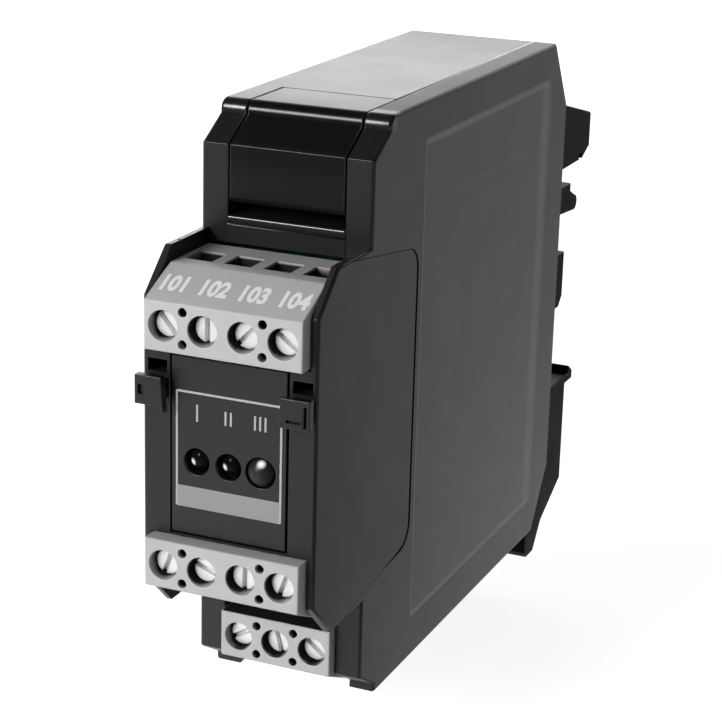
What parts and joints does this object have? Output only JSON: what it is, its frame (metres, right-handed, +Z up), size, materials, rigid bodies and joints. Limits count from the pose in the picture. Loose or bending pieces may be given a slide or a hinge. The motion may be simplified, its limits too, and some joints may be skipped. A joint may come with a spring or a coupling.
{
  "type": "relay module",
  "caption": "Narrow black relay module for a top-hat rail, with grey plug-in screw terminals, indicator lights on the front and a sprung rail catch.",
  "frame": {"origin": "on the seat that bears on the rail's front face, at the middle of the rail", "axes": "+Y from the front towards the rail, +Z up, +X to the right seen from the front"},
  "size_m": [0.0226, 0.1062, 0.0807],
  "materials": {
    "housing_plastic": "fine-grained black moulding",
    "cap_plastic": "fine-grained black moulding",
    "panel_plastic": "smooth black insert",
    "terminal_plastic": "light grey moulding",
    "plated_screw": "bright zinc plating",
    "plated_cage": "zinc plating",
    "contact_metal": "tin-plated strip",
    "header_plastic": "plain black moulding",
    "pin_metal": "tin-plated pins",
    "circuit_board": "green solder mask",
    "light_lens": "dark tinted clear lens",
    "relay_case": "sealed case",
    "transformer_core": "varnished laminations",
    "capacitor_can": "sleeved can",
    "foot_plastic": "tough black moulding",
    "print_ink": "white printing ink",
    "spring_steel": "spring steel strip"
  },
  "bodies": {
    "module": {"blank_cover": "housing_plastic", "capacitor_1": "capacitor_can", "capacitor_2": "capacitor_can", "contact_strips_lower": "contact_metal", "contact_strips_rear": "contact_metal", "contact_strips_upper": "contact_metal", "front_board": "circuit_board", "front_cap": "cap_plastic", "front_panel": "panel_plastic", "header_pins_lower": "pin_metal", "header_pins_rear": "pin_metal", "header_pins_upper": "pin_metal", "housing_shell": "housing_plastic", "indicator_light_1": "light_lens", "indicator_light_2": "light_lens", "indicator_light_3": "light_lens", "light_board": "circuit_board", "link_pins": "pin_metal", "main_board": "circuit_board", "pin_header_lower": "header_plastic", "pin_header_rear": "header_plastic", "pin_header_upper": "header_plastic", "rail_foot": "foot_plastic", "rear_board": "circuit_board", "relay_lower": "relay_case", "relay_upper": "relay_case", "side_cover": "housing_plastic", "slider_spring": "spring_steel", "terminal_block_lower": "terminal_plastic", "terminal_block_rear": "terminal_plastic", "terminal_block_upper": "terminal_plastic", "transformer": "transformer_core"},
    "clamp_screw_upper_1": {"clamp_screw_upper_1": "plated_screw"},
    "clamp_cage_upper_1": {"clamp_cage_upper_1": "plated_cage"},
    "clamp_screw_upper_2": {"clamp_screw_upper_2": "plated_screw"},
    "clamp_cage_upper_2": {"clamp_cage_upper_2": "plated_cage"},
    "clamp_screw_upper_3": {"clamp_screw_upper_3": "plated_screw"},
    "clamp_cage_upper_3": {"clamp_cage_upper_3": "plated_cage"},
    "clamp_screw_upper_4": {"clamp_screw_upper_4": "plated_screw"},
    "clamp_cage_upper_4": {"clamp_cage_upper_4": "plated_cage"},
    "clamp_screw_lower_1": {"clamp_screw_lower_1": "plated_screw"},
    "clamp_cage_lower_1": {"clamp_cage_lower_1": "plated_cage"},
    "clamp_screw_lower_2": {"clamp_screw_lower_2": "plated_screw"},
    "clamp_cage_lower_2": {"clamp_cage_lower_2": "plated_cage"},
    "clamp_screw_lower_3": {"clamp_screw_lower_3": "plated_screw"},
    "clamp_cage_lower_3": {"clamp_cage_lower_3": "plated_cage"},
    "clamp_screw_lower_4": {"clamp_screw_lower_4": "plated_screw"},
    "clamp_cage_lower_4": {"clamp_cage_lower_4": "plated_cage"},
    "clamp_screw_rear_1": {"clamp_screw_rear_1": "plated_screw"},
    "clamp_cage_rear_1": {"clamp_cage_rear_1": "plated_cage"},
    "clamp_screw_rear_2": {"clamp_screw_rear_2": "plated_screw"},
    "clamp_cage_rear_2": {"clamp_cage_rear_2": "plated_cage"},
    "clamp_screw_rear_3": {"clamp_screw_rear_3": "plated_screw"},
    "clamp_cage_rear_3": {"clamp_cage_rear_3": "plated_cage"},
    "slider": {"rail_slider": "foot_plastic"}
  },
  "joints": [
    {"name": "screw_turn_upper_1", "type": "hinge", "parent": "module", "child": "clamp_screw_upper_1", "pos_m": [-0.00762, -0.1001, 0.01485], "axis": [0, 1, 0], "range_deg": [0, 1801]},
    {"name": "cage_slide_upper_1", "type": "slide", "parent": "module", "child": "clamp_cage_upper_1", "axis": [0, -1, 0], "range_m": [0, 0.00225]},
    {"name": "screw_turn_upper_2", "type": "hinge", "parent": "module", "child": "clamp_screw_upper_2", "pos_m": [-0.00254, -0.1001, 0.01485], "axis": [0, 1, 0], "range_deg": [0, 1801]},
    {"name": "cage_slide_upper_2", "type": "slide", "parent": "module", "child": "clamp_cage_upper_2", "axis": [0, -1, 0], "range_m": [0, 0.00225]},
    {"name": "screw_turn_upper_3", "type": "hinge", "parent": "module", "child": "clamp_screw_upper_3", "pos_m": [0.00254, -0.1001, 0.01485], "axis": [0, 1, 0], "range_deg": [0, 1801]},
    {"name": "cage_slide_upper_3", "type": "slide", "parent": "module", "child": "clamp_cage_upper_3", "axis": [0, -1, 0], "range_m": [0, 0.00225]},
    {"name": "screw_turn_upper_4", "type": "hinge", "parent": "module", "child": "clamp_screw_upper_4", "pos_m": [0.00762, -0.1001, 0.01485], "axis": [0, 1, 0], "range_deg": [0, 1801]},
    {"name": "cage_slide_upper_4", "type": "slide", "parent": "module", "child": "clamp_cage_upper_4", "axis": [0, -1, 0], "range_m": [0, 0.00225]},
    {"name": "screw_turn_lower_1", "type": "hinge", "parent": "module", "child": "clamp_screw_lower_1", "pos_m": [-0.00762, -0.1001, -0.01485], "axis": [0, 1, 0], "range_deg": [0, 1801]},
    {"name": "cage_slide_lower_1", "type": "slide", "parent": "module", "child": "clamp_cage_lower_1", "axis": [0, -1, 0], "range_m": [0, 0.00225]},
    {"name": "screw_turn_lower_2", "type": "hinge", "parent": "module", "child": "clamp_screw_lower_2", "pos_m": [-0.00254, -0.1001, -0.01485], "axis": [0, 1, 0], "range_deg": [0, 1801]},
    {"name": "cage_slide_lower_2", "type": "slide", "parent": "module", "child": "clamp_cage_lower_2", "axis": [0, -1, 0], "range_m": [0, 0.00225]},
    {"name": "screw_turn_lower_3", "type": "hinge", "parent": "module", "child": "clamp_screw_lower_3", "pos_m": [0.00254, -0.1001, -0.01485], "axis": [0, 1, 0], "range_deg": [0, 1801]},
    {"name": "cage_slide_lower_3", "type": "slide", "parent": "module", "child": "clamp_cage_lower_3", "axis": [0, -1, 0], "range_m": [0, 0.00225]},
    {"name": "screw_turn_lower_4", "type": "hinge", "parent": "module", "child": "clamp_screw_lower_4", "pos_m": [0.00762, -0.1001, -0.01485], "axis": [0, 1, 0], "range_deg": [0, 1801]},
    {"name": "cage_slide_lower_4", "type": "slide", "parent": "module", "child": "clamp_cage_lower_4", "axis": [0, -1, 0], "range_m": [0, 0.00225]},
    {"name": "screw_turn_rear_1", "type": "hinge", "parent": "module", "child": "clamp_screw_rear_1", "pos_m": [-0.00508, -0.0849, -0.02995], "axis": [0, 1, 0], "range_deg": [0, 1801]},
    {"name": "cage_slide_rear_1", "type": "slide", "parent": "module", "child": "clamp_cage_rear_1", "axis": [0, -1, 0], "range_m": [0, 0.00225]},
    {"name": "screw_turn_rear_2", "type": "hinge", "parent": "module", "child": "clamp_screw_rear_2", "pos_m": [0, -0.0849, -0.02995], "axis": [0, 1, 0], "range_deg": [0, 1801]},
    {"name": "cage_slide_rear_2", "type": "slide", "parent": "module", "child": "clamp_cage_rear_2", "axis": [0, -1, 0], "range_m": [0, 0.00225]},
    {"name": "screw_turn_rear_3", "type": "hinge", "parent": "module", "child": "clamp_screw_rear_3", "pos_m": [0.00508, -0.0849, -0.02995], "axis": [0, 1, 0], "range_deg": [0, 1801]},
    {"name": "cage_slide_rear_3", "type": "slide", "parent": "module", "child": "clamp_cage_rear_3", "axis": [0, -1, 0], "range_m": [0, 0.00225]},
    {"name": "slider_pull", "type": "slide", "parent": "module", "child": "slider", "axis": [0, 0, -1], "range_m": [0, 0.0045], "stiffness_N_per_m": 1000, "springref_m": -0.003, "deforming": ["slider_spring"]}
  ],
  "couplings": [
    {"joint": "screw_turn_upper_1", "follows": "cage_slide_upper_1", "rad_per_m": 13963},
    {"joint": "screw_turn_upper_2", "follows": "cage_slide_upper_2", "rad_per_m": 13963},
    {"joint": "screw_turn_upper_3", "follows": "cage_slide_upper_3", "rad_per_m": 13963},
    {"joint": "screw_turn_upper_4", "follows": "cage_slide_upper_4", "rad_per_m": 13963},
    {"joint": "screw_turn_lower_1", "follows": "cage_slide_lower_1", "rad_per_m": 13963},
    {"joint": "screw_turn_lower_2", "follows": "cage_slide_lower_2", "rad_per_m": 13963},
    {"joint": "screw_turn_lower_3", "follows": "cage_slide_lower_3", "rad_per_m": 13963},
    {"joint": "screw_turn_lower_4", "follows": "cage_slide_lower_4", "rad_per_m": 13963},
    {"joint": "screw_turn_rear_1", "follows": "cage_slide_rear_1", "rad_per_m": 13963},
    {"joint": "screw_turn_rear_2", "follows": "cage_slide_rear_2", "rad_per_m": 13963},
    {"joint": "screw_turn_rear_3", "follows": "cage_slide_rear_3", "rad_per_m": 13963}
  ]
}
